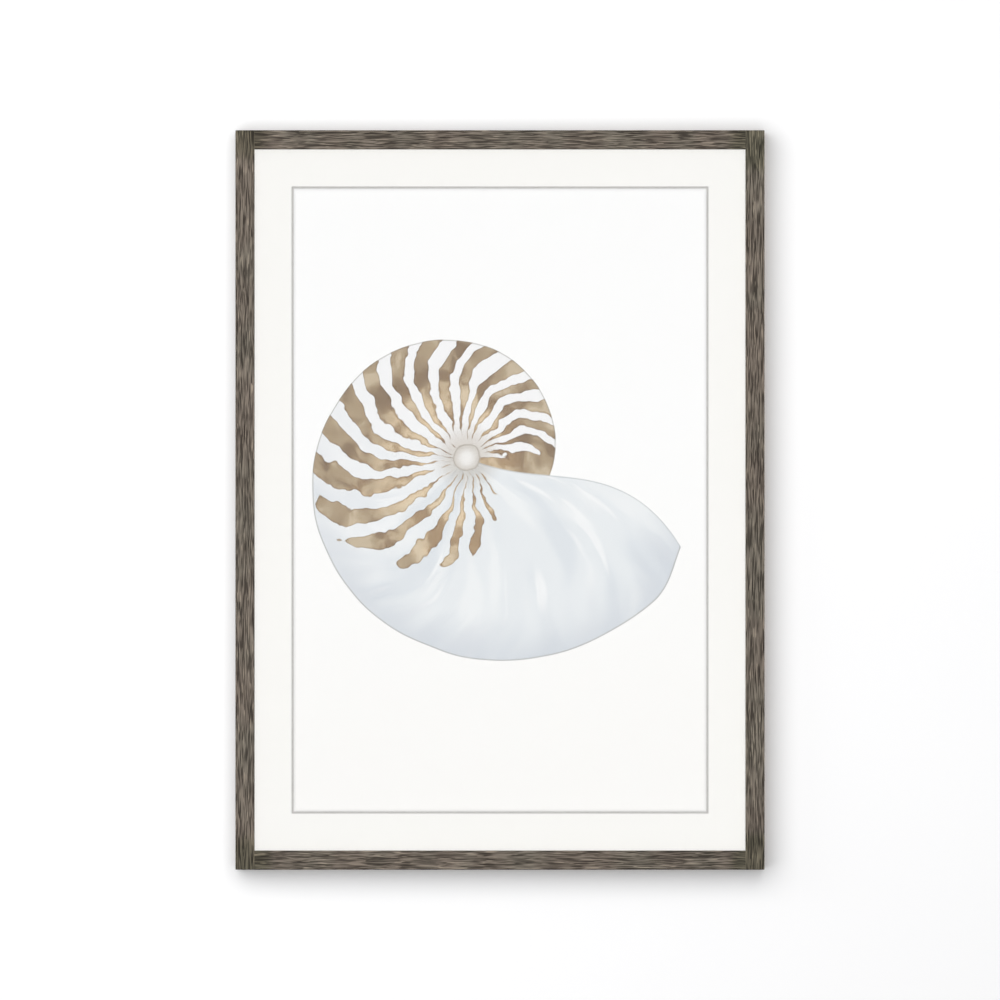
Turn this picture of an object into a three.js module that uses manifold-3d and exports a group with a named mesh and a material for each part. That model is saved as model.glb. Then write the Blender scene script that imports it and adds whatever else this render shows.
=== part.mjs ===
// A framed and matted nautilus print, portrait format, made to hang on a wall.
// Millimetres, +Z up. The front faces -Y and the wall is the plane y = 0.
// Origin: the point on the wall line where the nail carries the hanger's middle notch.
//
// Every piece is shaped and placed in the picture's own coordinates first: x to the right and z up
// from the middle of the frame, and y as the depth behind the frame's front face. The exported group
// then moves the whole picture so that its hanging point is at the origin.
import * as THREE from 'three';
import { ConvexGeometry } from 'three/addons/geometries/ConvexGeometry.js';
import { RoundedBoxGeometry } from 'three/addons/geometries/RoundedBoxGeometry.js';
import { mergeVertices } from 'three/addons/utils/BufferGeometryUtils.js';
import Module from 'manifold-3d';

// Frame
const FRAME_WIDTH = 508;
const FRAME_HEIGHT = 710;
const FRAME_DEPTH = 25;
const FACE_WIDTH = 18.2;
const LIP_DEPTH = 6; // thickness of the lip in front of the rabbet
const RABBET_WIDTH = 6.5;
const EDGE_RADIUS = 0.6; // the outer edges are eased by sanding
const SIGHT_CHAMFER = 0.5; // the front edge round the opening
const JOINT_GAP = 0.1; // glue line in the corner joints

// Corner dowels
const DOWEL_RADIUS = 2.5;
const DOWEL_HOLE_RADIUS = 2.65;
const DOWEL_LENGTH = 23;
const DOWEL_IN_STILE = 7.5;
const DOWEL_END_CLEARANCE = 0.4;
const DOWEL_CHAMFER = 0.6;
const DOWEL_DEPTHS = [10.5, 19.5]; // below the front face

// Sheets between the lip and the points, from the front to the back
const SHEET_CLEARANCE = 1; // each side, inside the rabbet
const SHEET_GAP = 0.1;
const GLAZING_THICKNESS = 2;
const MAT_THICKNESS = 2;
const PRINT_THICKNESS = 0.3;
const BACKING_THICKNESS = 3;
const WINDOW_WIDTH = 400.8; // at the mat's face
const WINDOW_HEIGHT = 602.8;
const PRINT_WIDTH = 406.4;
const PRINT_HEIGHT = 609.6;

// Framer's points
const POINT_THICKNESS = 0.5;
const POINT_WIDTH = 8;
const POINT_LENGTH = 15;
const POINT_IN_WOOD = 6;
const POINT_PLAY = 0.2; // room round the point in its slot
const POINTS_PER_STILE = 4;
const POINTS_PER_RAIL = 2;

// Dust cover
const COVER_THICKNESS = 0.25;
const COVER_INSET = 1.5; // from the frame's outer edges
const COVER_GAP = 0.05; // glue under the paper, and between the paper and what sits on it

// Sawtooth hanger
const HANGER_LENGTH = 76;
const HANGER_HEIGHT = 8.6;
const HANGER_THICKNESS = 0.9;
const HANGER_RISE = 1.65; // how far the toothed middle stands off the ends
const HANGER_RAISED_HALF = 21;
const HANGER_RAMP = 2.4;
const HANGER_CORNER_RADIUS = 2;
const TOOTH_PITCH = 3.2;
const TOOTH_DEPTH = 1.6;
const NOTCHES_EACH_SIDE = 6; // beside the middle notch

// Hanger screws
const SCREW_FROM_END = 5;
const SCREW_SHANK_RADIUS = 1;
const SCREW_HOLE_RADIUS = 1.25;
const SCREW_LENGTH = 12;
const SCREW_TIP = 2.5;
const SCREW_HEAD_RADIUS = 2.3;
const SCREW_HEAD_HEIGHT = 1.5;
const SCREW_RECESS_LENGTH = 2.6;
const SCREW_RECESS_WIDTH = 0.6;
const SCREW_RECESS_DEPTH = 0.8;

// Bumpers
const BUMPER_RADIUS = 4;
const BUMPER_FLAT_RADIUS = 2.2;
const BUMPER_WALL_HEIGHT = 0.9; // straight side below the domed part
const BUMPER_FROM_SIDE = 16;

// Worked out from the dimensions above
const SIGHT_WIDTH = FRAME_WIDTH - 2 * FACE_WIDTH;
const SIGHT_HEIGHT = FRAME_HEIGHT - 2 * FACE_WIDTH;
const BAND = FACE_WIDTH - RABBET_WIDTH; // the wood beside the rabbet
const RABBET_OPENING_WIDTH = FRAME_WIDTH - 2 * BAND;
const RABBET_OPENING_HEIGHT = FRAME_HEIGHT - 2 * BAND;
const SHEET_WIDTH = RABBET_OPENING_WIDTH - 2 * SHEET_CLEARANCE;
const SHEET_HEIGHT = RABBET_OPENING_HEIGHT - 2 * SHEET_CLEARANCE;

const GLAZING_FRONT = LIP_DEPTH + SHEET_GAP;
const MAT_FRONT = GLAZING_FRONT + GLAZING_THICKNESS + SHEET_GAP;
const PRINT_FRONT = MAT_FRONT + MAT_THICKNESS + SHEET_GAP;
const BACKING_FRONT = PRINT_FRONT + PRINT_THICKNESS + SHEET_GAP;
const POINT_FRONT = BACKING_FRONT + BACKING_THICKNESS + SHEET_GAP + POINT_PLAY;
const COVER_FRONT = FRAME_DEPTH + COVER_GAP;
const HARDWARE_FRONT = COVER_FRONT + COVER_THICKNESS + COVER_GAP;
const SCREW_SEAT = HARDWARE_FRONT + HANGER_THICKNESS + COVER_GAP;
const WALL_CLEARANCE = 0.1; // behind the hanger's raised middle
const WALL = HARDWARE_FRONT + HANGER_RISE + HANGER_THICKNESS + WALL_CLEARANCE;
const BUMPER_HEIGHT = WALL - HARDWARE_FRONT;

const BAND_MIDDLE_Z = FRAME_HEIGHT / 2 - BAND / 2; // mid-line of the top rail's back
const HANGER_BOTTOM_Z = BAND_MIDDLE_Z - HANGER_HEIGHT / 2;
const NAIL_Z = HANGER_BOTTOM_Z + TOOTH_DEPTH;
const SCREW_X = HANGER_LENGTH / 2 - SCREW_FROM_END;

const ROUND_SEGMENTS = 24;
const OVERCUT = 1; // how far a cutting block runs past the face it cuts

const driftwood = new THREE.MeshStandardMaterial({ color: 0x6a6359, roughness: 0.85 });
const beech = new THREE.MeshStandardMaterial({ color: 0xc9a878, roughness: 0.7 });
const clearSheet = new THREE.MeshStandardMaterial({
  color: 0xf4f8f6,
  roughness: 0.05,
  transparent: true,
  opacity: 0.1,
});
const matBoard = new THREE.MeshStandardMaterial({ color: 0xfaf9f5, roughness: 0.9 });
const printPaper = new THREE.MeshStandardMaterial({ color: 0xfdfdfd, roughness: 0.85 });
const greyBoard = new THREE.MeshStandardMaterial({ color: 0x8f877a, roughness: 0.9 });
const brownPaper = new THREE.MeshStandardMaterial({ color: 0xa98760, roughness: 0.9 });
const platedSteel = new THREE.MeshStandardMaterial({ color: 0xb9bab8, roughness: 0.35, metalness: 1 });
const rubber = new THREE.MeshStandardMaterial({ color: 0x2b2b2c, roughness: 0.7 });

const wasm = await Module();
wasm.setup();

// A closed geometry as a solid that can be joined and cut.
function solid(geometry) {
  const bare = geometry.clone();
  bare.deleteAttribute('normal');
  bare.deleteAttribute('uv');
  const merged = mergeVertices(bare);
  return new wasm.Manifold(
    new wasm.Mesh({
      numProp: 3,
      vertProperties: merged.attributes.position.array,
      triVerts: new Uint32Array(merged.index.array),
    }),
  );
}

// A solid back as a geometry with flat faces.
function geometryOf(body) {
  const { vertProperties, triVerts } = body.getMesh();
  const indexed = new THREE.BufferGeometry();
  indexed.setAttribute('position', new THREE.BufferAttribute(vertProperties, 3));
  indexed.setIndex(new THREE.BufferAttribute(triVerts, 1));
  const flat = indexed.toNonIndexed();
  flat.computeVertexNormals();
  return flat;
}

// A rectangular block between two opposite corners.
function block(cornerA, cornerB) {
  const box = new THREE.Box3().setFromPoints([new THREE.Vector3(...cornerA), new THREE.Vector3(...cornerB)]);
  const size = box.getSize(new THREE.Vector3());
  const middle = box.getCenter(new THREE.Vector3());
  const geometry = new THREE.BoxGeometry(size.x, size.y, size.z);
  geometry.translate(middle.x, middle.y, middle.z);
  return solid(geometry);
}

// A block centred on the picture whose width and height change evenly from its front to its back.
function taperedBlock(front, frontSize, back, backSize) {
  const corners = [];
  for (const [depth, [width, height]] of [[front, frontSize], [back, backSize]]) {
    for (const sideX of [-1, 1]) {
      for (const sideZ of [-1, 1]) {
        corners.push(new THREE.Vector3((sideX * width) / 2, depth, (sideZ * height) / 2));
      }
    }
  }
  return solid(new ConvexGeometry(corners));
}

// A round bar along x from one end to the other, at a given depth and height.
function barAlongX(radius, startX, endX, depth, z) {
  const geometry = new THREE.CylinderGeometry(radius, radius, Math.abs(endX - startX), ROUND_SEGMENTS);
  geometry.rotateZ(Math.PI / 2);
  geometry.translate((startX + endX) / 2, depth, z);
  return solid(geometry);
}

// A round bar along the depth.
function barAlongY(radius, front, back, x, z) {
  const geometry = new THREE.CylinderGeometry(radius, radius, back - front, ROUND_SEGMENTS);
  geometry.translate(x, (front + back) / 2, z);
  return solid(geometry);
}

// Each corner's two dowels, as the side (-1 left, 1 right), the height and the depth of each.
function dowelPlaces() {
  const places = [];
  for (const sideZ of [1, -1]) {
    for (const sideX of [-1, 1]) {
      for (const depth of DOWEL_DEPTHS) {
        places.push({ sideX, z: sideZ * BAND_MIDDLE_Z, depth });
      }
    }
  }
  return places;
}

// Each framer's point, as the spot where it enters the wood and the way it was driven.
function pointPlaces() {
  const places = [];
  for (const side of [-1, 1]) {
    for (let i = 0; i < POINTS_PER_STILE; i++) {
      const z = (RABBET_OPENING_HEIGHT * (i + 0.5)) / POINTS_PER_STILE - RABBET_OPENING_HEIGHT / 2;
      places.push({ x: (side * RABBET_OPENING_WIDTH) / 2, z, turn: side > 0 ? 0 : Math.PI });
    }
  }
  for (const side of [-1, 1]) {
    for (let i = 0; i < POINTS_PER_RAIL; i++) {
      const x = (RABBET_OPENING_WIDTH * (i + 0.5)) / POINTS_PER_RAIL - RABBET_OPENING_WIDTH / 2;
      places.push({ x, z: (side * RABBET_OPENING_HEIGHT) / 2, turn: (-side * Math.PI) / 2 });
    }
  }
  return places;
}

function dowelHole({ sideX, z, depth }) {
  const jointX = RABBET_OPENING_WIDTH / 2;
  const inStile = jointX + DOWEL_IN_STILE + DOWEL_END_CLEARANCE;
  const inRail = jointX + DOWEL_IN_STILE - DOWEL_LENGTH - DOWEL_END_CLEARANCE;
  return barAlongX(DOWEL_HOLE_RADIUS, sideX * inRail, sideX * inStile, depth, z);
}

function pointSlot({ x, z, turn }) {
  const length = POINT_IN_WOOD + POINT_PLAY;
  const geometry = new THREE.BoxGeometry(
    length + OVERCUT,
    POINT_THICKNESS + 2 * POINT_PLAY,
    POINT_WIDTH + 2 * POINT_PLAY,
  );
  geometry.translate((length - OVERCUT) / 2, POINT_FRONT + POINT_THICKNESS / 2, 0);
  geometry.rotateY(turn);
  geometry.translate(x, 0, z);
  return solid(geometry);
}

function screwHole(side) {
  return barAlongY(SCREW_HOLE_RADIUS, SCREW_SEAT - SCREW_LENGTH - OVERCUT, WALL, side * SCREW_X, BAND_MIDDLE_Z);
}

// The wood of the whole frame with its opening, rabbet and holes, before it is split at the joints.
function frameRing() {
  const outside = new RoundedBoxGeometry(FRAME_WIDTH, FRAME_DEPTH, FRAME_HEIGHT, 2, EDGE_RADIUS);
  outside.translate(0, FRAME_DEPTH / 2, 0);
  let ring = solid(outside);
  ring = ring.subtract(
    taperedBlock(
      -OVERCUT,
      [SIGHT_WIDTH, SIGHT_HEIGHT],
      FRAME_DEPTH + OVERCUT,
      [SIGHT_WIDTH, SIGHT_HEIGHT],
    ),
  );
  ring = ring.subtract(
    taperedBlock(
      -SIGHT_CHAMFER,
      [SIGHT_WIDTH + 4 * SIGHT_CHAMFER, SIGHT_HEIGHT + 4 * SIGHT_CHAMFER],
      SIGHT_CHAMFER,
      [SIGHT_WIDTH, SIGHT_HEIGHT],
    ),
  );
  ring = ring.subtract(
    taperedBlock(
      LIP_DEPTH,
      [RABBET_OPENING_WIDTH, RABBET_OPENING_HEIGHT],
      FRAME_DEPTH + OVERCUT,
      [RABBET_OPENING_WIDTH, RABBET_OPENING_HEIGHT],
    ),
  );
  const cuts = [
    ...dowelPlaces().map(dowelHole),
    ...pointPlaces().map(pointSlot),
    ...[-1, 1].map(screwHole),
  ];
  for (const cut of cuts) {
    ring = ring.subtract(cut);
  }
  return ring;
}

// The space of one stile. It is as wide as the face in front, and only as wide as the band behind,
// where the rails' tongues fill its rabbet.
function stileSpace(side, allowance) {
  const outerX = side * (FRAME_WIDTH / 2 + OVERCUT);
  const endZ = FRAME_HEIGHT / 2 + OVERCUT;
  const lip = block(
    [outerX, -OVERCUT, -endZ],
    [side * (SIGHT_WIDTH / 2 - allowance), LIP_DEPTH + allowance, endZ],
  );
  const band = block(
    [outerX, -OVERCUT, -endZ],
    [side * (RABBET_OPENING_WIDTH / 2 - allowance), FRAME_DEPTH + OVERCUT, endZ],
  );
  return lip.add(band);
}

function frameMembers() {
  const ring = frameRing();
  const railsOnly = ring.subtract(stileSpace(-1, JOINT_GAP)).subtract(stileSpace(1, JOINT_GAP));
  const acrossX = FRAME_WIDTH;
  const upperHalf = block([-acrossX, -OVERCUT, 0], [acrossX, FRAME_DEPTH + OVERCUT, FRAME_HEIGHT]);
  const lowerHalf = block([-acrossX, -OVERCUT, -FRAME_HEIGHT], [acrossX, FRAME_DEPTH + OVERCUT, 0]);
  return [
    piece('stile_left', geometryOf(ring.intersect(stileSpace(-1, 0))), driftwood),
    piece('stile_right', geometryOf(ring.intersect(stileSpace(1, 0))), driftwood),
    piece('rail_top', geometryOf(railsOnly.intersect(upperHalf)), driftwood),
    piece('rail_bottom', geometryOf(railsOnly.intersect(lowerHalf)), driftwood),
  ];
}

// A named mesh at a place in the picture.
function piece(name, geometry, material, position = [0, 0, 0]) {
  const mesh = new THREE.Mesh(geometry, material);
  mesh.name = name;
  mesh.position.set(...position);
  return mesh;
}

// Dowels with chamfered ends, across each corner joint.
function dowels() {
  const half = DOWEL_LENGTH / 2;
  const outline = [
    [0, -half],
    [DOWEL_RADIUS - DOWEL_CHAMFER, -half],
    [DOWEL_RADIUS, -half + DOWEL_CHAMFER],
    [DOWEL_RADIUS, half - DOWEL_CHAMFER],
    [DOWEL_RADIUS - DOWEL_CHAMFER, half],
    [0, half],
  ].map(([r, y]) => new THREE.Vector2(r, y));
  const geometry = new THREE.LatheGeometry(outline, ROUND_SEGMENTS);
  return dowelPlaces().map(({ sideX, z, depth }, i) => {
    const middleX = RABBET_OPENING_WIDTH / 2 + DOWEL_IN_STILE - half;
    const dowel = piece(`dowel_${i + 1}`, geometry, beech, [sideX * middleX, depth, z]);
    dowel.rotation.z = Math.PI / 2;
    return dowel;
  });
}

// A flat sheet as large as the rabbet takes.
function sheet(name, thickness, front, material) {
  const geometry = new THREE.BoxGeometry(SHEET_WIDTH, thickness, SHEET_HEIGHT);
  return piece(name, geometry, material, [0, front + thickness / 2, 0]);
}

// The mat: its window narrows from the face to the back, so the cut edge shows as a bevel all round.
function mat() {
  const board = block(
    [-SHEET_WIDTH / 2, 0, -SHEET_HEIGHT / 2],
    [SHEET_WIDTH / 2, MAT_THICKNESS, SHEET_HEIGHT / 2],
  );
  const grow = 2 * OVERCUT;
  const shrink = 2 * (MAT_THICKNESS + OVERCUT);
  const window = taperedBlock(
    -OVERCUT,
    [WINDOW_WIDTH + grow, WINDOW_HEIGHT + grow],
    MAT_THICKNESS + OVERCUT,
    [WINDOW_WIDTH - shrink, WINDOW_HEIGHT - shrink],
  );
  return piece('mat_board', geometryOf(board.subtract(window)), matBoard, [0, MAT_FRONT, 0]);
}

function artPrint() {
  const geometry = new THREE.BoxGeometry(PRINT_WIDTH, PRINT_THICKNESS, PRINT_HEIGHT);
  return piece('art_print', geometry, printPaper, [0, PRINT_FRONT + PRINT_THICKNESS / 2, 0]);
}

// Framer's points: flat blades with a sharp tip in the wood and a rounded tail over the board.
function framerPoints() {
  const outline = new THREE.Shape();
  const half = POINT_WIDTH / 2;
  const tail = POINT_IN_WOOD - POINT_LENGTH;
  outline.moveTo(POINT_IN_WOOD, 0);
  outline.lineTo(POINT_IN_WOOD - half, half);
  outline.lineTo(tail + half, half);
  outline.absarc(tail + half, 0, half, Math.PI / 2, (3 * Math.PI) / 2, false);
  outline.lineTo(POINT_IN_WOOD - half, -half);
  const geometry = new THREE.ExtrudeGeometry(outline, {
    depth: POINT_THICKNESS,
    bevelEnabled: false,
    curveSegments: 6,
  });
  geometry.rotateX(Math.PI / 2);
  geometry.translate(0, POINT_THICKNESS, 0);
  return pointPlaces().map(({ x, z, turn }, i) => {
    const name = `framer_point_${String(i + 1).padStart(2, '0')}`;
    const blade = piece(name, geometry, platedSteel, [x, POINT_FRONT, z]);
    blade.rotation.y = turn;
    return blade;
  });
}

function dustCover() {
  let paper = block(
    [-FRAME_WIDTH / 2 + COVER_INSET, COVER_FRONT, -FRAME_HEIGHT / 2 + COVER_INSET],
    [FRAME_WIDTH / 2 - COVER_INSET, COVER_FRONT + COVER_THICKNESS, FRAME_HEIGHT / 2 - COVER_INSET],
  );
  for (const side of [-1, 1]) {
    paper = paper.subtract(screwHole(side));
  }
  return piece('dust_cover', geometryOf(paper), brownPaper);
}

// The hanger's strip seen from above: flat ends, ramps and a raised middle, all of one thickness.
function hangerStrip() {
  const end = HANGER_LENGTH / 2;
  const rampFoot = HANGER_RAISED_HALF + HANGER_RAMP;
  const shift = HANGER_THICKNESS * Math.tan(Math.atan2(HANGER_RISE, HANGER_RAMP) / 2);
  const side = [[end, 0], [rampFoot, 0], [HANGER_RAISED_HALF, HANGER_RISE]];
  const front = [...side.map(([x, y]) => [-x, y]), ...side.toReversed()];
  const back = front.map(([x, y]) => {
    const ends = Math.abs(x) === end;
    return [ends ? x : x + Math.sign(x) * shift, y + HANGER_THICKNESS];
  });
  const outline = new THREE.Shape([...front, ...back.toReversed()].map(([x, y]) => new THREE.Vector2(x, y)));
  return solid(new THREE.ExtrudeGeometry(outline, { depth: HANGER_HEIGHT, bevelEnabled: false }));
}

// The hanger seen from behind: round corners, a hole at each end, and teeth along the raised middle.
function hangerOutline() {
  const end = HANGER_LENGTH / 2 - HANGER_CORNER_RADIUS;
  const top = HANGER_HEIGHT - HANGER_CORNER_RADIUS;
  const bottom = HANGER_CORNER_RADIUS;
  const quarter = Math.PI / 2;
  const outline = new THREE.Shape();
  outline.absarc(end, top, HANGER_CORNER_RADIUS, 0, quarter, false);
  outline.absarc(-end, top, HANGER_CORNER_RADIUS, quarter, 2 * quarter, false);
  outline.absarc(-end, bottom, HANGER_CORNER_RADIUS, 2 * quarter, 3 * quarter, false);
  for (let notch = -NOTCHES_EACH_SIDE; notch <= NOTCHES_EACH_SIDE; notch++) {
    outline.lineTo((notch - 0.5) * TOOTH_PITCH, 0);
    outline.lineTo(notch * TOOTH_PITCH, TOOTH_DEPTH);
  }
  outline.lineTo((NOTCHES_EACH_SIDE + 0.5) * TOOTH_PITCH, 0);
  outline.absarc(end, bottom, HANGER_CORNER_RADIUS, -quarter, 0, false);
  for (const side of [-1, 1]) {
    const hole = new THREE.Path();
    hole.absarc(side * SCREW_X, HANGER_HEIGHT / 2, SCREW_HOLE_RADIUS, 0, 4 * quarter, true);
    outline.holes.push(hole);
  }
  const depth = HANGER_RISE + HANGER_THICKNESS + 2 * OVERCUT;
  const geometry = new THREE.ExtrudeGeometry(outline, { depth, bevelEnabled: false, curveSegments: 8 });
  geometry.rotateX(Math.PI / 2);
  geometry.translate(0, depth - OVERCUT, 0);
  return solid(geometry);
}

function hanger() {
  const body = hangerStrip().intersect(hangerOutline());
  return piece('hanger', geometryOf(body), platedSteel, [0, HARDWARE_FRONT, HANGER_BOTTOM_Z]);
}

// Pan-head screws with a cross recess. The head faces the wall.
function hangerScrews() {
  const headRadius = SCREW_HEAD_RADIUS;
  const headTop = SCREW_HEAD_HEIGHT;
  const outline = new THREE.Path();
  outline.moveTo(0, -SCREW_LENGTH);
  outline.lineTo(SCREW_SHANK_RADIUS, -SCREW_LENGTH + SCREW_TIP);
  outline.lineTo(SCREW_SHANK_RADIUS, 0);
  outline.lineTo(headRadius, 0);
  outline.lineTo(headRadius, headTop / 3);
  outline.quadraticCurveTo(headRadius, headTop, headRadius / 3, headTop);
  outline.lineTo(0, headTop);
  let body = solid(new THREE.LatheGeometry(outline.getPoints(6), ROUND_SEGMENTS));
  const longHalf = SCREW_RECESS_LENGTH / 2;
  const thinHalf = SCREW_RECESS_WIDTH / 2;
  const floor = headTop - SCREW_RECESS_DEPTH;
  const above = headTop + OVERCUT;
  body = body.subtract(block([-longHalf, floor, -thinHalf], [longHalf, above, thinHalf]));
  body = body.subtract(block([-thinHalf, floor, -longHalf], [thinHalf, above, longHalf]));
  const geometry = geometryOf(body);
  return [
    piece('hanger_screw_left', geometry, platedSteel, [-SCREW_X, SCREW_SEAT, BAND_MIDDLE_Z]),
    piece('hanger_screw_right', geometry, platedSteel, [SCREW_X, SCREW_SEAT, BAND_MIDDLE_Z]),
  ];
}

// Rubber bumpers with a small flat top that rests on the wall.
function bumpers() {
  const outline = new THREE.Path();
  outline.moveTo(0, 0);
  outline.lineTo(BUMPER_RADIUS, 0);
  outline.lineTo(BUMPER_RADIUS, BUMPER_WALL_HEIGHT);
  outline.quadraticCurveTo(BUMPER_RADIUS, BUMPER_HEIGHT, BUMPER_FLAT_RADIUS, BUMPER_HEIGHT);
  outline.lineTo(0, BUMPER_HEIGHT);
  const geometry = new THREE.LatheGeometry(outline.getPoints(6), ROUND_SEGMENTS);
  const x = FRAME_WIDTH / 2 - BUMPER_FROM_SIDE;
  return [
    piece('bumper_left', geometry, rubber, [-x, HARDWARE_FRONT, -BAND_MIDDLE_Z]),
    piece('bumper_right', geometry, rubber, [x, HARDWARE_FRONT, -BAND_MIDDLE_Z]),
  ];
}

const picture = new THREE.Group();
picture.add(...frameMembers());
picture.add(...dowels());
picture.add(sheet('glazing', GLAZING_THICKNESS, GLAZING_FRONT, clearSheet));
picture.add(mat());
picture.add(artPrint());
picture.add(sheet('backing_board', BACKING_THICKNESS, BACKING_FRONT, greyBoard));
picture.add(...framerPoints());
picture.add(dustCover());
picture.add(hanger());
picture.add(...hangerScrews());
picture.add(...bumpers());
picture.position.set(0, -WALL, -NAIL_Z);

export default picture;
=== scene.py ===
# A framed nautilus print on a white wall: the finish of every piece, the lights and the camera.
# Metres, +Z up. The front faces -Y, the wall is the plane y = 0 and the nail is at the origin.
import math

import bmesh
import bpy
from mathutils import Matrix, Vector, noise


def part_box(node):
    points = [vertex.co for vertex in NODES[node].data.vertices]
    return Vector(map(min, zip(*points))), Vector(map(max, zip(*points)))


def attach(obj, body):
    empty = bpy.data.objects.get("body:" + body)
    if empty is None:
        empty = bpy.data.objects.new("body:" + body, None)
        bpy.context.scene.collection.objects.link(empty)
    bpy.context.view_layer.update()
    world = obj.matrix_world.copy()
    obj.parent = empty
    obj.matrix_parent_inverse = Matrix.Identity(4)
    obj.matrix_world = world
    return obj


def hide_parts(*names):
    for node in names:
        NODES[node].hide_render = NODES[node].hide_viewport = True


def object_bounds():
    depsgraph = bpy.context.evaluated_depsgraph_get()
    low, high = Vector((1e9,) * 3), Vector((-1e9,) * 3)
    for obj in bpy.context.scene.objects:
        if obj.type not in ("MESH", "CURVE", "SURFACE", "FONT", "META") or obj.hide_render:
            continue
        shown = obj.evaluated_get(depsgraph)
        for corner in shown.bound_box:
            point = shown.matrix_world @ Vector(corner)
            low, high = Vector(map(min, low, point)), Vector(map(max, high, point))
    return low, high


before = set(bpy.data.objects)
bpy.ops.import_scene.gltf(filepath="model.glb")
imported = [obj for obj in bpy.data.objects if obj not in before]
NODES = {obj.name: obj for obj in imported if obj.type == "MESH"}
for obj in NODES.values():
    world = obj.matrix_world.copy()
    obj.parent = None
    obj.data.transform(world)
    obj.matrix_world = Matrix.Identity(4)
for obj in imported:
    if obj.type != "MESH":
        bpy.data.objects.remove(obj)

CAD_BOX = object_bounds()
MIDDLE = (CAD_BOX[0] + CAD_BOX[1]) / 2
MM = 0.001


# ---------------------------------------------------------------- shader arithmetic

def tint(red, green, blue):
    """A colour given as 0 to 255 screen values, as the linear RGBA that shader sockets hold."""
    def linear(value):
        share = value / 255
        if share <= 0.04045:
            return share / 12.92
        return ((share + 0.055) / 1.055) ** 2.4
    return (linear(red), linear(green), linear(blue), 1.0)


class Wire:
    """A value running between shader nodes: arithmetic on it adds the Math nodes that work it out."""

    def __init__(self, tree, socket):
        self.tree = tree
        self.socket = socket

    def __add__(self, other):
        return self.tree.math("ADD", self, other)

    def __sub__(self, other):
        return self.tree.math("SUBTRACT", self, other)

    def __rsub__(self, other):
        return self.tree.math("SUBTRACT", other, self)

    def __mul__(self, other):
        return self.tree.math("MULTIPLY", self, other)

    def __truediv__(self, other):
        return self.tree.math("DIVIDE", self, other)

    __radd__ = __add__


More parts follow.
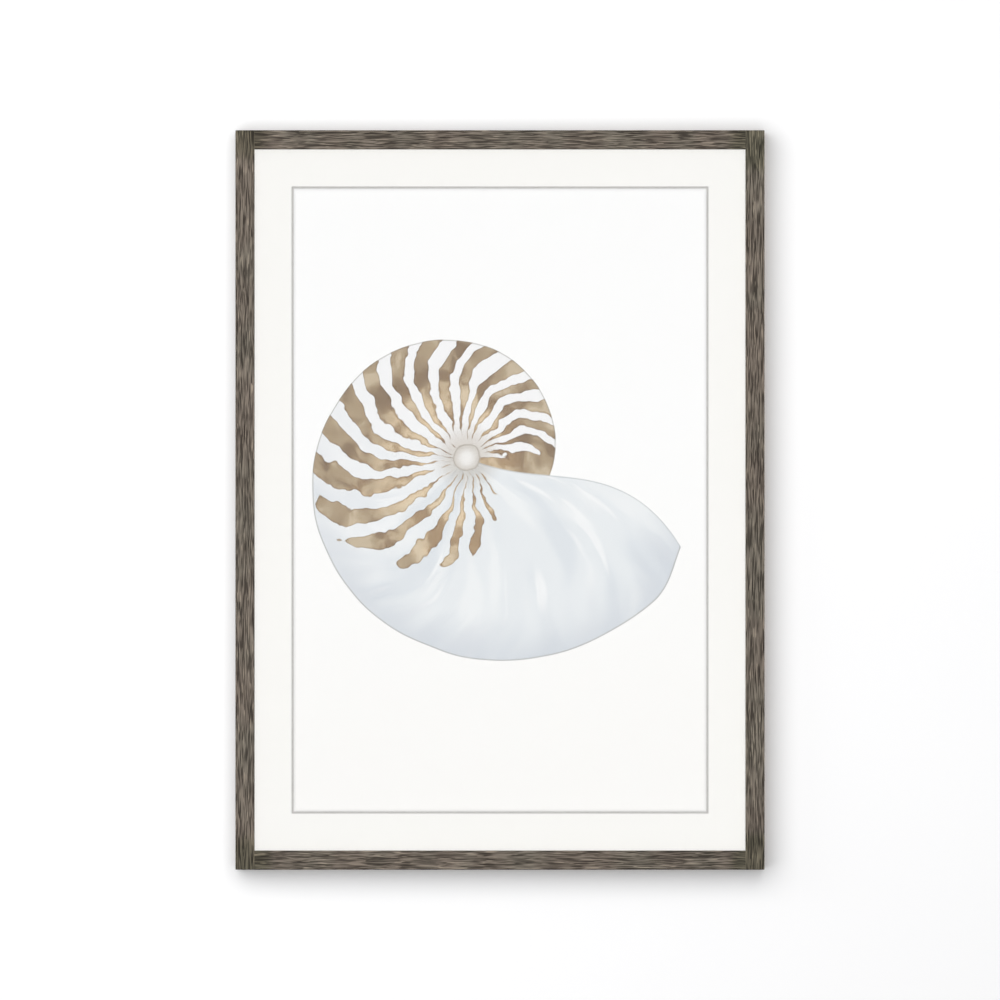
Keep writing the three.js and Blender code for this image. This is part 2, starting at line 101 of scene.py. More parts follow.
class Tree:
    """A material and its node tree, with one short method for each kind of node the finishes use."""

    def __init__(self, name, roughness, metallic=0.0):
        self.material = bpy.data.materials.new(name)
        self.material.use_nodes = True
        self.nodes = self.material.node_tree.nodes
        self.links = self.material.node_tree.links
        self.shader = self.nodes["Principled BSDF"]
        self.output = self.nodes["Material Output"]
        self.shader.inputs["Roughness"].default_value = roughness
        self.shader.inputs["Metallic"].default_value = metallic
        self.shader.inputs["IOR"].default_value = 1.5

    def connect(self, value, socket):
        if isinstance(value, Wire):
            self.links.new(value.socket, socket)
        elif value is not None:
            socket.default_value = value

    def node(self, kind, **settings):
        made = self.nodes.new(kind)
        for name, value in settings.items():
            setattr(made, name, value)
        return made

    def math(self, operation, *values):
        made = self.node("ShaderNodeMath", operation=operation)
        for value, socket in zip(values, made.inputs):
            self.connect(value, socket)
        return Wire(self, made.outputs[0])

    def smooth(self, value, low, high):
        """0 below low, 1 above high, and a soft step between."""
        made = self.node("ShaderNodeMapRange", interpolation_type="SMOOTHSTEP")
        self.connect(value, made.inputs["Value"])
        self.connect(low, made.inputs["From Min"])
        self.connect(high, made.inputs["From Max"])
        return Wire(self, made.outputs["Result"])

    def vector(self, x, y, z):
        made = self.node("ShaderNodeCombineXYZ")
        for value, socket in zip((x, y, z), made.inputs):
            self.connect(value, socket)
        return Wire(self, made.outputs[0])

    def parts(self, socket):
        made = self.node("ShaderNodeSeparateXYZ")
        self.links.new(socket, made.inputs[0])
        return [Wire(self, output) for output in made.outputs]

    def place(self):
        """The x, y and z of the point, in metres."""
        return self.parts(self.node("ShaderNodeTexCoord").outputs["Object"])

    def facing_front(self):
        """1 where the surface faces straight forwards or backwards, and less where it slopes."""
        facing = self.parts(self.node("ShaderNodeNewGeometry").outputs["True Normal"])
        return self.math("ABSOLUTE", facing[1])

    def noise(self, x, y, z, detail=2.0, distortion=0.0):
        """Cloudy noise from 0 to 1, whose lumps are about one unit of x, y and z apart."""
        made = self.node("ShaderNodeTexNoise")
        self.connect(self.vector(x, y, z), made.inputs["Vector"])
        made.inputs["Scale"].default_value = 1.0
        made.inputs["Detail"].default_value = detail
        made.inputs["Roughness"].default_value = 0.5
        made.inputs["Distortion"].default_value = distortion
        return Wire(self, made.outputs["Fac"])

    def lumps(self, per_metre, detail=2.0):
        """Noise that is the same in every direction, with so many lumps to the metre."""
        x, y, z = self.place()
        return self.noise(x * per_metre, y * per_metre, z * per_metre, detail=detail)

    def cells(self, x, y, z):
        """How far the point is from the nearest of some scattered points, about one unit apart."""
        made = self.node("ShaderNodeTexVoronoi")
        self.connect(self.vector(x, y, z), made.inputs["Vector"])
        made.inputs["Scale"].default_value = 1.0
        return Wire(self, made.outputs["Distance"])

    def blend(self, factor, first, second, how="MIX"):
        """A colour from first at factor 0 to second at factor 1."""
        made = self.node("ShaderNodeMix", data_type="RGBA", blend_type=how)
        self.connect(factor, made.inputs[0])
        self.connect(first, made.inputs[6])
        self.connect(second, made.inputs[7])
        return Wire(self, made.outputs[2])

    def finish(self, colour, height=None, relief=0.0, strength=1.0, roughness=None):
        """Joins a colour, a bump height in relief metres and a roughness to the shader."""
        self.connect(colour, self.shader.inputs["Base Color"])
        self.connect(roughness, self.shader.inputs["Roughness"])
        if height is not None:
            bump = self.node("ShaderNodeBump")
            bump.inputs["Strength"].default_value = strength
            bump.inputs["Distance"].default_value = relief
            self.links.new(height.socket, bump.inputs["Height"])
            self.links.new(bump.outputs["Normal"], self.shader.inputs["Normal"])
        return self.material

    def fade(self, amount):
        """Lets what lies behind show through, by an amount from 0 to 1."""
        clear = self.node("ShaderNodeBsdfTransparent")
        mix = self.node("ShaderNodeMixShader")
        self.connect(amount, mix.inputs[0])
        self.links.new(self.shader.outputs[0], mix.inputs[1])
        self.links.new(clear.outputs[0], mix.inputs[2])
        self.links.new(mix.outputs[0], self.output.inputs["Surface"])


# ---------------------------------------------------------------- wood

CORNER_NEAR = 14 * MM    # the green cast is whole this near to a corner of the frame
CORNER_FAR = 58 * MM     # and gone this far from it
GRAIN_WANDER = 2 * MM    # how far the fibres stray sideways


def driftwood(name, grain):
    """Brushed grey-brown wood. grain is the axis, "x" or "z", that its fibres follow."""
    t = Tree(name, roughness=0.62)
    x, y, z = t.place()
    along, across = (z, x) if grain == "z" else (x, z)
    wander = t.noise(across * 20, y * 20, along * 13, detail=1) - 0.5
    lane = across + wander * GRAIN_WANDER
    lane_y = y + wander * GRAIN_WANDER

    def streaks(per_metre, per_metre_along, seed=0):
        """Noise drawn out along the grain."""
        return t.noise(lane * per_metre, lane_y * per_metre, along * per_metre_along + seed, detail=1)

    fibres = streaks(1450, 50)
    bands = streaks(260, 7)
    value = fibres * 0.88 + bands * 0.12
    wood = t.blend(t.smooth(value, 0.4, 0.6), tint(70, 64, 57), tint(141, 133, 123))
    pale = t.smooth(streaks(1250, 56, seed=40), 0.61, 0.67)
    wood = t.blend(pale * 0.75, wood, tint(180, 170, 156))
    pores = t.smooth(streaks(1250, 44, seed=80), 0.6, 0.68)
    wood = t.blend(pores * 0.8, wood, tint(54, 48, 42))
    patches = t.noise(x * 24, y * 24, z * 16, detail=2)
    stain = t.blend(t.smooth(patches, 0.36, 0.64), tint(128, 114, 106), tint(124, 124, 114))
    wood = t.blend(0.55, wood, stain, "SOFT_LIGHT")
    corner = corner_share(t, x, z) + (patches - 0.5) * 1.2
    wood = t.blend(t.smooth(corner, 0.35, 0.85) * 0.6, wood, tint(116, 128, 108), "SOFT_LIGHT")
    height = fibres * 0.7 + pale * 0.2 - pores * 0.6
    return t.finish(wood, height, relief=0.2 * MM, strength=0.5, roughness=0.5 + fibres * 0.25)


def corner_share(t, x, z):
    """1 at the frame's corners, falling to 0 a little way along each member."""
    from_side = CAD_BOX[1].x - t.math("ABSOLUTE", x)
    from_end = (CAD_BOX[1].z - CAD_BOX[0].z) / 2 - t.math("ABSOLUTE", z - MIDDLE.z)
    away = t.math("MAXIMUM", from_side, from_end)
    return t.smooth(away, CORNER_FAR, CORNER_NEAR)


def beech(name):
    """Pale dowel wood with short flecks along its length, x."""
    t = Tree(name, roughness=0.6)
    x, y, z = t.place()
    fibres = t.noise(x * 60, y * 1500, z * 1500, detail=2)
    flecks = t.smooth(t.cells(x * 260, y * 1500, z * 1500), 0.22, 0.05)
    wood = t.blend(fibres, tint(214, 182, 138), tint(190, 150, 104))
    wood = t.blend(flecks * 0.5, wood, tint(140, 98, 62))
    return t.finish(wood, fibres, relief=0.1 * MM, strength=0.4)


# ---------------------------------------------------------------- boards and papers

def mat_board(name):
    """White mat board: a faintly toothed face paper, and a greyer pulp core on the bevel, its grey deepened as
    painted shade.
    """
    t = Tree(name, roughness=0.9)
    tooth = t.lumps(1300, detail=3)
    face = t.blend(t.lumps(60), tint(237, 235, 232), tint(239, 237, 234))
    # Grey pulp core on the bevel, made darker still to stand as painted shade in the window's recess.
    core_and_painted_shade = t.blend(t.lumps(2600), tint(177, 174, 172), tint(197, 194, 191))
    sloping = t.smooth(t.facing_front(), 0.95, 0.8)
    return t.finish(t.blend(sloping, face, core_and_painted_shade), tooth, relief=0.04 * MM, strength=0.15)


def grey_board(name):
    """Recycled backing board with pale and dark flecks."""
    t = Tree(name, roughness=0.9)
    x, y, z = t.place()
    pulp = t.lumps(500, detail=4)
    flecks = t.smooth(t.cells(x * 420, y * 420, z * 420), 0.2, 0.08)
    board = t.blend(pulp, tint(128, 120, 110), tint(160, 152, 141))
    board = t.blend(flecks * 0.5, board, tint(92, 84, 76))
    return t.finish(board, pulp, relief=0.1 * MM, strength=0.5)


RIB_SPACING = 1.6 * MM


def kraft_paper(name):
    """Ribbed brown wrapping paper with long fibres and soft clouds."""
    t = Tree(name, roughness=0.72)
    x, y, z = t.place()
    ribs = t.math("SINE", x * (2 * math.pi / RIB_SPACING) + t.lumps(40) * 3)
    fibres = t.noise(x * 900, y * 900, z * 130, detail=3, distortion=0.6)
    clouds = t.lumps(16, detail=4)
    specks = t.smooth(t.cells(x * 300, y * 300, z * 180), 0.13, 0.04)
    paper = t.blend(t.smooth(clouds, 0.25, 0.75), tint(170, 136, 96), tint(190, 156, 114))
    paper = t.blend(t.smooth(fibres, 0.45, 0.75) * 0.5, paper, tint(203, 172, 130))
    paper = t.blend((ribs * 0.5 + 0.5) * 0.16, paper, tint(132, 99, 64))
    paper = t.blend(specks * 0.55, paper, tint(110, 80, 52))
    height = ribs * 0.12 + fibres * 0.25 + clouds * 0.8
    return t.finish(paper, height, relief=0.5 * MM, strength=0.5)


# ---------------------------------------------------------------- the nautilus print

# A generic nautilus, whole and in the middle of the sheet, with its mouth to the right, opening upwards.
# Lengths are millimetres on the paper, from the middle of the window. Bearings are turns, anticlockwise
# from the right, and the shell's own turns run from where the mouth hides the first whorl.
SHELL_MIDDLE = (-32, 41)
MOUTH_RADIUS = 235       # from the middle to the outer edge at the mouth
GROWTH = 3.0             # how much wider a nautilus gets in one turn
MOUTH_TURN = 0.94        # how much of a turn the last whorl covers
MOUTH_BEARING = -25 / 360
LIP_BULGE = 0.04         # how far, in turns, the lip swells past the straight line to the middle
CORNER_ROUNDING = 16     # where the lip meets the outer edge
STRIPES = 24
STRIPE_LEAN = 0.07       # how far, in turns, the growth lines lean back at the outer edge
SHORTER_FROM = 0.48      # the turn from which the stripes get shorter
PLUG_RADIUS = 13
PAPER_WHITE = tint(242, 241, 241)


class Shell:
    """The drawing's own coordinates at a point of the paper."""

    def __init__(self, t, middle):
        x, _, z = t.place()
        self.t = t
        self.x = (x - middle.x) * 1000 - SHELL_MIDDLE[0]
        self.y = (z - middle.z) * 1000 - SHELL_MIDDLE[1]
        self.radius = t.math("SQRT", self.x * self.x + self.y * self.y)
        bearing = t.math("ARCTAN2", self.y, self.x) / (2 * math.pi)
        self.turn = t.math("FRACT", bearing - MOUTH_BEARING + MOUTH_TURN)
        wobble = (self.noise(80, detail=1, seed=90) - 0.5) * 5
        self.spiral = t.math("POWER", GROWTH, self.turn - MOUTH_TURN) * MOUTH_RADIUS + wobble
        corner = t.smooth(self.turn, MOUTH_TURN - 0.035, MOUTH_TURN + 0.02)
        self.edge = self.spiral - corner * CORNER_ROUNDING
        self.share = self.radius / self.edge
        self.growth_line = self.turn + self.share * self.share * STRIPE_LEAN
        reach = t.math("MINIMUM", self.radius / MOUTH_RADIUS, 1.0)
        self.lip = t.math("SINE", reach * math.pi) * LIP_BULGE

    def noise(self, size, detail=2.0, seed=0.0, **more):
        """Noise whose lumps are size millimetres across."""
        return self.t.noise(self.x / size, self.y / size, seed, detail=detail, **more)

    def scallops(self, size, seed=0.0):
        """Round lobes size millimetres across: 1 in their middles, about 0 in the creases between."""
        return 1 - self.t.cells(self.x / size + seed, self.y / size, 0.0) * 1.6

    def inside(self, distance, softness=0.35):
        """1 where a distance in millimetres is positive, with a soft edge."""
        return self.t.smooth(distance, -softness, softness)

    def to_mouth(self):
        """Millimetres along the turn from the point forward to the lip."""
        return (self.lip + MOUTH_TURN - self.turn) * self.radius * (2 * math.pi)


def stripes(s):
    """How many millimetres the point lies inside a flame stripe: negative on the bare shell."""
    t = s.t
    per_mm = t.math("DIVIDE", STRIPES / (2 * math.pi), s.radius)
    sway = (s.noise(34, seed=3, detail=1) - 0.5) * 18 + (s.noise(9, seed=7, detail=1) - 0.5) * 5
    phase = s.growth_line * STRIPES + 0.5 + sway * per_mm
    from_middle = t.math("ABSOLUTE", t.math("FRACT", phase) - 0.5) * 2
    lobes = s.scallops(9) * (s.radius * 0.01 + 0.8) + s.scallops(3.6, seed=4) * 0.3 - 0.9
    last_share = 1.15 - t.math("MAXIMUM", s.turn - SHORTER_FROM, 0.0) * 2.3
    to_tip = (last_share - s.share) * s.edge * 0.8 + (s.noise(34, seed=11, detail=1) - 0.5) * 40 + lobes
    width = 0.44 + s.share * 0.2 - t.smooth(s.share, 0.3, 0.16) * 0.2
    width = width + (s.noise(38, seed=5, detail=1) - 0.5) * 0.35 + t.smooth(s.turn, 0.03, 0.0) * 0.8
    across = t.math("DIVIDE", width - from_middle, per_mm) / 2 + lobes
    return t.math("SMOOTH_MIN", across, to_tip, 14.0)


def stripe_paint(s, share, depth):
    """Watercolour brown: tan by the middle, darker towards the outer edge, pooled at the rims."""
    t = s.t
    outer = t.smooth(share + (s.noise(24, seed=21) - 0.5) * 0.7, 0.28, 0.85)
    paint = t.blend(outer, tint(226, 203, 168), tint(166, 144, 112))
    pools = s.noise(30, detail=3, seed=31, distortion=0.5)
    paint = t.blend(t.smooth(pools, 0.47, 0.61) * 0.8, paint, tint(170, 146, 110), "MULTIPLY")
    paint = t.blend(t.smooth(pools, 0.46, 0.36) * 0.5, paint, tint(222, 206, 178))
    grains = s.noise(2.4, detail=2, seed=45)
    paint = t.blend(t.smooth(grains, 0.45, 0.7) * 0.3, paint, tint(214, 206, 190), "MULTIPLY")
    rim = t.smooth(depth, 1.6, 0.4)
    return t.blend(rim * 0.75, paint, tint(180, 158, 120), "MULTIPLY")


def bare_shell(s):
    """The white of the shell: almost paper at first, pale blue-grey in folds on the body chamber."""
    t = s.t
    body = t.smooth(s.turn, 0.35, 0.75)
    fold_line = s.growth_line * 30 + (s.noise(90, seed=71) - 0.5) * 1.2
    folds = t.noise(fold_line, s.share * 2.2, 0.0, detail=1)
    streaks = t.noise(fold_line * 2.1, s.share * 2.6, 6.0, detail=1)
    white = t.blend(body, tint(246, 246, 247), tint(232, 236, 239))
    white = t.blend(t.smooth(folds, 0.52, 0.68) * body * 0.7, white, tint(243, 245, 246))
    white = t.blend(t.smooth(folds, 0.5, 0.32) * body * 0.7, white, tint(218, 224, 230))
    white = t.blend(t.smooth(streaks, 0.6, 0.69) * body * 0.7, white, tint(248, 249, 250))
    shaded = t.smooth(s.share + (streaks - 0.5) * 0.3, 0.76, 1.02) * body
    return t.blend(shaded * 0.75, white, tint(204, 210, 218))


def plug(s, colour):
    """The plain round plug in the middle of the coil, in a shallow dimple."""
    t = s.t
    dimple = t.smooth(s.radius, 3 * PLUG_RADIUS, PLUG_RADIUS)
    colour = t.blend(dimple * 0.5, colour, tint(186, 170, 148), "MULTIPLY")
    from_rim = PLUG_RADIUS - s.radius + (s.noise(14, seed=61) - 0.5) * 5
    pearl = t.blend(t.smooth(from_rim, 0, 10), tint(206, 200, 192), tint(240, 238, 235))
    line = t.smooth(t.math("ABSOLUTE", from_rim), 1.6, 0.3)
    pearl = t.blend(line * 0.6, pearl, tint(140, 124, 104))
    return t.blend(s.inside(from_rim, 0.8), colour, pearl)


def nautilus(s, paper):
    """The whole shell, painted over the paper's colour."""
    t = s.t
    depth = stripes(s)
    coat = t.blend(s.inside(depth), bare_shell(s), stripe_paint(s, s.share, depth))
    to_edge = s.edge - s.radius
    outline = t.smooth(t.math("ABSOLUTE", to_edge - 0.5), 1.0, 0.2)
    coat = t.blend(outline * 0.5, coat, tint(126, 116, 104))
    to_mouth = s.to_mouth()
    lip_line = t.smooth(t.math("ABSOLUTE", to_mouth - 0.4), 0.9, 0.2)
    coat = t.blend(lip_line * 0.5, coat, tint(146, 150, 154))
    to_whorl = s.spiral / GROWTH - s.radius
    first_whorl = stripe_paint(s, s.radius * GROWTH / s.spiral, to_whorl)
    before_start = s.inside(0 - to_mouth) * t.smooth(s.turn, 0.8, 0.85)
    colour = t.blend(before_start * s.inside(to_whorl), paper, first_whorl)
    colour = t.blend(s.inside(to_edge) * s.inside(to_mouth), colour, coat)
    return plug(s, colour)


def window_half():
    """Half the width and height, in metres, of the mat's window where it meets the print."""
    half_x = min(abs(vertex.co.x) for vertex in NODES["mat_board"].data.vertices)
    middle_z = middle_of("mat_board").z
    half_z = min(abs(vertex.co.z - middle_z) for vertex in NODES["mat_board"].data.vertices)
    return half_x, half_z


def from_window(t, middle):
    """Metres inwards from the nearest edge of the mat's window."""
    x, _, z = t.place()
    half_x, half_z = window_half()
    inwards_x = half_x - t.math("ABSOLUTE", x)
    inwards_z = half_z - t.math("ABSOLUTE", z - middle.z)
    return t.math("MINIMUM", inwards_x, inwards_z)


def art_print(name, middle):
    """Cold-pressed paper with a nautilus shell painted on it in browns and blue-greys, and a painted shadow of
    the mat along the window's edge.
    """
    t = Tree(name, roughness=0.85)
    s = Shell(t, middle)
    grey = tint(150, 150, 152)
    tooth = s.noise(1.6, detail=2, seed=50)
    aged = t.smooth(s.y, 60, -330)
    paper = t.blend(aged + (s.noise(60, seed=60) - 0.5) * 0.3, tint(255, 255, 255), tint(253, 252, 250))
    colour = nautilus(s, paper)
    colour = t.blend(t.smooth(tooth, 0.62, 0.42) * 0.02, colour, grey, "MULTIPLY")
    # Painted shadow of the mat on the print: grey, darkest at the window's edge and gone 3.4 mm inwards.
    painted_mat_shadow = t.smooth(from_window(t, middle), 3.4 * MM, -0.6 * MM)
    colour = t.blend(painted_mat_shadow * 0.32, colour, grey, "MULTIPLY")
    colour = t.blend(1.0, colour, PAPER_WHITE, "MULTIPLY")
    return t.finish(colour, tooth, relief=0.05 * MM, strength=0.15)


# ---------------------------------------------------------------- glazing, metal and rubber

def glazing(name):
    """Clear glass. Shadow rays and diffuse bounces pass straight through, so the print stays lit."""
    t = Tree(name, roughness=0.0)
    t.shader.inputs["Transmission Weight"].default_value = 1.0
    t.shader.inputs["Base Color"].default_value = tint(254, 255, 254)
    path = t.node("ShaderNodeLightPath")
    shadow = Wire(t, path.outputs["Is Shadow Ray"])
    diffuse = Wire(t, path.outputs["Is Diffuse Ray"])
    t.fade(t.math("MAXIMUM", shadow, diffuse))
    return t.material


def plated_steel(name):
    """Zinc-plated pressed steel with fine scratches and cloudy spangle."""
    t = Tree(name, roughness=0.35, metallic=1.0)
    x, y, z = t.place()
    scratches = t.noise(x * 300, y * 2400, z * 5200, detail=2)
    spangle = t.lumps(480)
    steel = t.blend(spangle, tint(176, 178, 178), tint(206, 206, 202))
    steel = t.blend(t.smooth(scratches, 0.6, 0.75) * 0.4, steel, tint(140, 141, 142))
    return t.finish(steel, scratches, relief=0.03 * MM, strength=0.3, roughness=0.25 + spangle * 0.25)


def bumper_rubber(name):
    """Dark rubber with moulding haze and dust."""
    t = Tree(name, roughness=0.7)
    grain = t.lumps(2500, detail=3)
    dust = t.smooth(t.lumps(900), 0.55, 0.75)
    colour = t.blend(grain, tint(38, 38, 39), tint(56, 56, 56))
    colour = t.blend(dust * 0.3, colour, tint(120, 116, 110))
    return t.finish(colour, grain, relief=0.05 * MM, strength=0.4, roughness=0.55 + grain * 0.3)


# ---------------------------------------------------------------- the dust cover

COVER_SLACK = 2.2 * MM     # how far the paper ripples in and out
COVER_GLUE = 11 * MM       # the glued border, which stays flat
COVER_EASE = 55 * MM       # from the border to where the ripples are full
COVER_TRIM = 0.35 * MM     # how unevenly its edge is cut
COVER_HALF = 0.25          # about half its width, in metres
SWELL_WIDTH = 0.13         # the size of the paper's broad waves, in metres
SWELL_HEIGHT = 0.21
CREASE_SPACING = 0.045     # between its slanting creases
CREASE_LENGTH = 0.3
CREASE_BEND = 0.16         # how far along a crease it changes its course
TRIM_LENGTH = 0.05         # how far along the edge the cut wanders
COVER_COLUMNS = 96
COVER_ROWS = 134


def ripple(x, z, from_edge):
    """How far the slack paper stands off its flat place."""
    taut = min(1.0, max(0.0, (from_edge - COVER_GLUE) / COVER_EASE))
    taut = taut * taut * (3 - 2 * taut)
    swell = noise.noise(Vector((x / SWELL_WIDTH, z / SWELL_HEIGHT, 3.0)))
    bend = 2.2 * noise.noise(Vector((x / CREASE_BEND, z / CREASE_BEND, 9.0)))
    crease_line = (x * 0.8 + z * 0.6) / CREASE_SPACING + bend
    along_crease = (z * 0.8 - x * 0.6) / CREASE_LENGTH
    crease = 1 - abs(noise.noise(Vector((crease_line, along_crease, 1.0)))) * 3
    return COVER_SLACK * taut * (swell * 0.9 + max(0.0, crease) * 0.22 - 0.15)


def cover_point(low, high, y, column, row):
    """The place of one point of the paper's face at depth y."""
    x = low.x + (high.x - low.x) * column / COVER_COLUMNS
    z = low.z + (high.z - low.z) * row / COVER_ROWS
    from_edge = min(x - low.x, high.x - x, z - low.z, high.z - z)
    keep = 1.0
    if from_edge < MM:
        trim = COVER_TRIM * (1 + noise.noise(Vector((x / TRIM_LENGTH, z / TRIM_LENGTH, 5.0))))
        keep = 1 - trim / COVER_HALF
    return x * keep, y + ripple(x, z, from_edge), MIDDLE.z + (z - MIDDLE.z) * keep


def cover_face(bm, low, high, y):
    """The points of one face of the paper, row by row."""
    rows = []
    for row in range(COVER_ROWS + 1):
        columns = range(COVER_COLUMNS + 1)
        rows.append([bm.verts.new(cover_point(low, high, y, column, row)) for column in columns])
    return rows


def join_faces(bm, inner, outer):
    """Covers both grids of points with quads and closes the rim between them."""
    for j in range(COVER_ROWS):
        for i in range(COVER_COLUMNS):
            for rows, flip in ((inner, 1), (outer, -1)):
                corners = [rows[j][i], rows[j][i + 1], rows[j + 1][i + 1], rows[j + 1][i]]
                bm.faces.new(corners[::flip]).smooth = True
    rims = [
        ([row[0] for row in inner], [row[0] for row in outer], 1),
        ([row[-1] for row in inner], [row[-1] for row in outer], -1),
        (inner[0], outer[0], -1),
        (inner[-1], outer[-1], 1),
    ]
    for near, far, flip in rims:
        for a, b, c, d in zip(near, near[1:], far[1:], far):
            bm.faces.new([a, b, c, d][::flip])


def dust_cover():
    """Brown paper glued over the back: flat on the glued border, rippled inside, and cut by hand."""
    low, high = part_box("dust_cover")
    bm = bmesh.new()
    inner = cover_face(bm, low, high, low.y)
    outer = cover_face(bm, low, high, high.y)
    join_faces(bm, inner, outer)
    mesh = bpy.data.meshes.new("dust_cover_paper")
    bm.to_mesh(mesh)
    bm.free()
    paper = bpy.data.objects.new("dust_cover_paper", mesh)
    bpy.context.scene.collection.objects.link(paper)
    mesh.materials.append(kraft_paper("kraft_paper"))
    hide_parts("dust_cover")
    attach(paper, "root")


# ---------------------------------------------------------------- putting the finishes on

def give(node_name, material):
    """Gives a CAD node one material in place of its own."""
    NODES[node_name].data.materials.clear()
    NODES[node_name].data.materials.append(material)


def middle_of(node_name):
    low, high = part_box(node_name)
    return (low + high) / 2


def finish_pieces():
    """Finishes by node name, or else by the first word of the name."""
    upright = driftwood("driftwood_upright", "z")
    level = driftwood("driftwood_level", "x")
    steel = plated_steel("plated_steel")
    rubber = bumper_rubber("bumper_rubber")
    dowel_wood = beech("beech")
    board = grey_board("grey_board")
    finishes = {
        "stile_left": upright,
        "stile_right": upright,
        "rail_top": level,
        "rail_bottom": level,
        "glazing": glazing("clear_glass"),
        "mat_board": mat_board("mat_board"),
        "art_print": art_print("art_print", middle_of("art_print")),
        "backing_board": board,
    }
    families = {
        "dowel": dowel_wood,
        "framer": steel,
        "hanger": steel,
        "bumper": rubber,
        "dust": board,  # hidden: the modelled sheet takes its place
    }
    for node_name in NODES:
        family = node_name.split("_")[0]
        give(node_name, finishes.get(node_name) or families[family])


# ---------------------------------------------------------------- wall, floor, light and camera

FRONT = CAD_BOX[0].y
VIEW_WIDTH = 0.960       # what the camera takes in at the picture's front face
CAMERA_DISTANCE = 7.0
FLOOR_BELOW = 0.9        # from the picture's lower edge
ROOM = 9.0               # how far the wall and the floor reach
FLOOR_SOLID = 2.0        # where the floor starts to fade
FLOOR_END = 7.0
WALL_SOLID = 0.8         # the same for the wall, from the picture's middle
WALL_END = 1.8
WALL_GAP = 0.5 * MM      # between the bumpers and the wall
KEY_PLACE = (-0.62, -3.0, 0.5)    # the lights' places are from the picture's middle
KEY_SIZE = 4.4
KEY_POWER = 148
BOARD_PLACE = (0, -3.0, 0)
BOARD_SHARE = 0.99       # of the front light's power, on what lies behind the glass
CEILING_PLACE = (0, 0, 3.5)
CEILING_SIZE = 6.0
CEILING_POWER = 200
OTHER_LIGHTS = [
    ("side_left", (-3.2, -1.2, 0.8), 1.6, 14),
    ("side_right", (3.2, -1.0, 0.5), 1.6, 8),
    ("behind", (3.0, 2.0, 1.3), 2.2, 140),
]


def flat(name, corners, material):
    """A flat piece of the stage."""
    mesh = bpy.data.meshes.new(name)
    mesh.from_pydata([Vector(corner) for corner in corners], [], [range(len(corners))])
    made = bpy.data.objects.new(name, mesh)
    mesh.materials.append(material)
    bpy.context.scene.collection.objects.link(made)
    return made


def wall_paint():
    """White paint round the picture that is only there from the front, so that the back can be seen."""
    t = Tree("wall_paint", roughness=0.9)
    x, _, z = t.place()
    t.finish(t.blend(t.lumps(3), tint(252, 252, 252), tint(254, 254, 254)))
    up = z - MIDDLE.z
    away = t.math("SQRT", x * x + up * up)
    behind = Wire(t, t.node("ShaderNodeNewGeometry").outputs["Backfacing"])
    t.fade(t.math("MAXIMUM", behind, t.smooth(away, WALL_SOLID, WALL_END)))
    return t.material


def floor_paint():
    """Pale floor that fades out into the white surroundings."""
    t = Tree("floor_paint", roughness=0.9)
    x, y, _ = t.place()
    t.finish(t.blend(t.lumps(3), tint(240, 240, 240), tint(244, 244, 244)))
    away = t.math("SQRT", x * x + y * y)
    t.fade(t.smooth(away, FLOOR_SOLID, FLOOR_END))
    return t.material


def wall_and_floor():
    """The wall behind the picture and the floor under it, which is handed back."""
    floor_z = CAD_BOX[0].z - FLOOR_BELOW
    wall = flat(
        "wall",
        [(-ROOM, WALL_GAP, floor_z), (ROOM, WALL_GAP, floor_z), (ROOM, WALL_GAP, ROOM), (-ROOM, WALL_GAP, ROOM)],
        wall_paint(),
    )
    floor = flat(
        "floor",
        [(-ROOM, -ROOM, floor_z), (ROOM, -ROOM, floor_z), (ROOM, ROOM, floor_z), (-ROOM, ROOM, floor_z)],
        floor_paint(),
    )
    for backdrop in (wall, floor):
        backdrop.visible_diffuse = False
        backdrop.visible_glossy = False
        backdrop.visible_transmission = False
        backdrop.visible_shadow = False
    return floor


def panel(name, place, size, power, shows_in_gloss):
    """A square soft light aimed at the middle of the picture."""
    light = bpy.data.lights.new(name, "AREA")
    light.size = size
    light.energy = power
    made = bpy.data.objects.new(name, light)
    made.location = MIDDLE + Vector(place)
    made.rotation_euler = Vector(place).to_track_quat("Z", "Y").to_euler()
    made.visible_camera = False
    made.visible_glossy = shows_in_gloss
    bpy.context.scene.collection.objects.link(made)
    return made


def group(name, members, state):
    """The objects that a light reaches or that shade it ("INCLUDE"), or that it leaves out ("EXCLUDE")."""
    made = bpy.data.collections.new(name)
    for member in members:
        made.objects.link(member)
    for link in made.collection_objects:
        link.light_linking.link_state = state
    return made


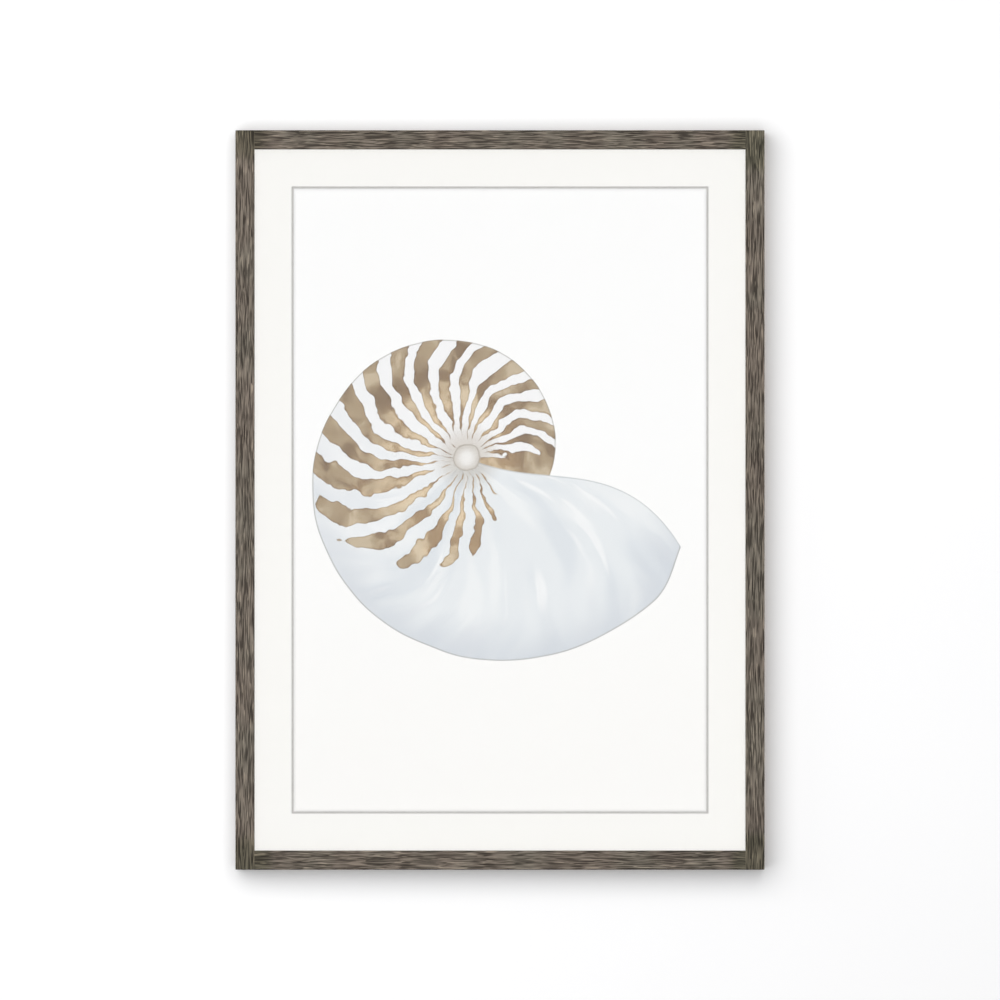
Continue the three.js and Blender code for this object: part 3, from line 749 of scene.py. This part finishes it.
def lights(floor):
    """One large soft light in front, a little left and high, and others at the sides and behind.
    The boards behind the glass have a front light of their own, which the frame doesn't shade, and
    the floor has one overhead."""
    boards = [NODES["mat_board"], NODES["art_print"]]
    not_boards = group("not_boards", boards, "EXCLUDE")
    only_boards = group("only_boards", boards, "INCLUDE")
    outside = [panel("key", KEY_PLACE, KEY_SIZE, KEY_POWER, shows_in_gloss=False)]
    for name, place, size, power in OTHER_LIGHTS:
        outside.append(panel(name, place, size, power, shows_in_gloss=True))
    for light in outside:
        light.light_linking.receiver_collection = not_boards
    ceiling = panel("ceiling", CEILING_PLACE, CEILING_SIZE, CEILING_POWER, shows_in_gloss=False)
    ceiling.light_linking.receiver_collection = group("only_floor", [floor], "INCLUDE")
    inner = panel("key_on_boards", BOARD_PLACE, KEY_SIZE, KEY_POWER * BOARD_SHARE, shows_in_gloss=False)
    inner.light_linking.receiver_collection = only_boards
    inner.light_linking.blocker_collection = only_boards


def surroundings():
    """White to the camera, and a mid grey to everything else."""
    world = bpy.data.worlds.new("surroundings")
    bpy.context.scene.world = world
    world.use_nodes = True
    nodes = world.node_tree.nodes
    links = world.node_tree.links
    nodes.clear()
    path = nodes.new("ShaderNodeLightPath")
    white = nodes.new("ShaderNodeBackground")
    grey = nodes.new("ShaderNodeBackground")
    mix = nodes.new("ShaderNodeMixShader")
    output = nodes.new("ShaderNodeOutputWorld")
    grey.inputs["Color"].default_value = tint(103, 103, 105)
    white.inputs["Color"].default_value = tint(255, 255, 255)
    links.new(path.outputs["Is Camera Ray"], mix.inputs[0])
    links.new(grey.outputs[0], mix.inputs[1])
    links.new(white.outputs[0], mix.inputs[2])
    links.new(mix.outputs[0], output.inputs["Surface"])


def camera():
    """A long lens straight in front, level with the picture's middle."""
    data = bpy.data.cameras.new("camera")
    data.lens = data.sensor_width * CAMERA_DISTANCE / VIEW_WIDTH
    made = bpy.data.objects.new("camera", data)
    made.location = (MIDDLE.x, FRONT - CAMERA_DISTANCE, MIDDLE.z)
    made.rotation_euler = (math.radians(90), 0, 0)
    bpy.context.scene.collection.objects.link(made)
    bpy.context.scene.camera = made
    bpy.context.scene.view_settings.view_transform = "Standard"


finish_pieces()
dust_cover()
lights(wall_and_floor())
surroundings()
camera()
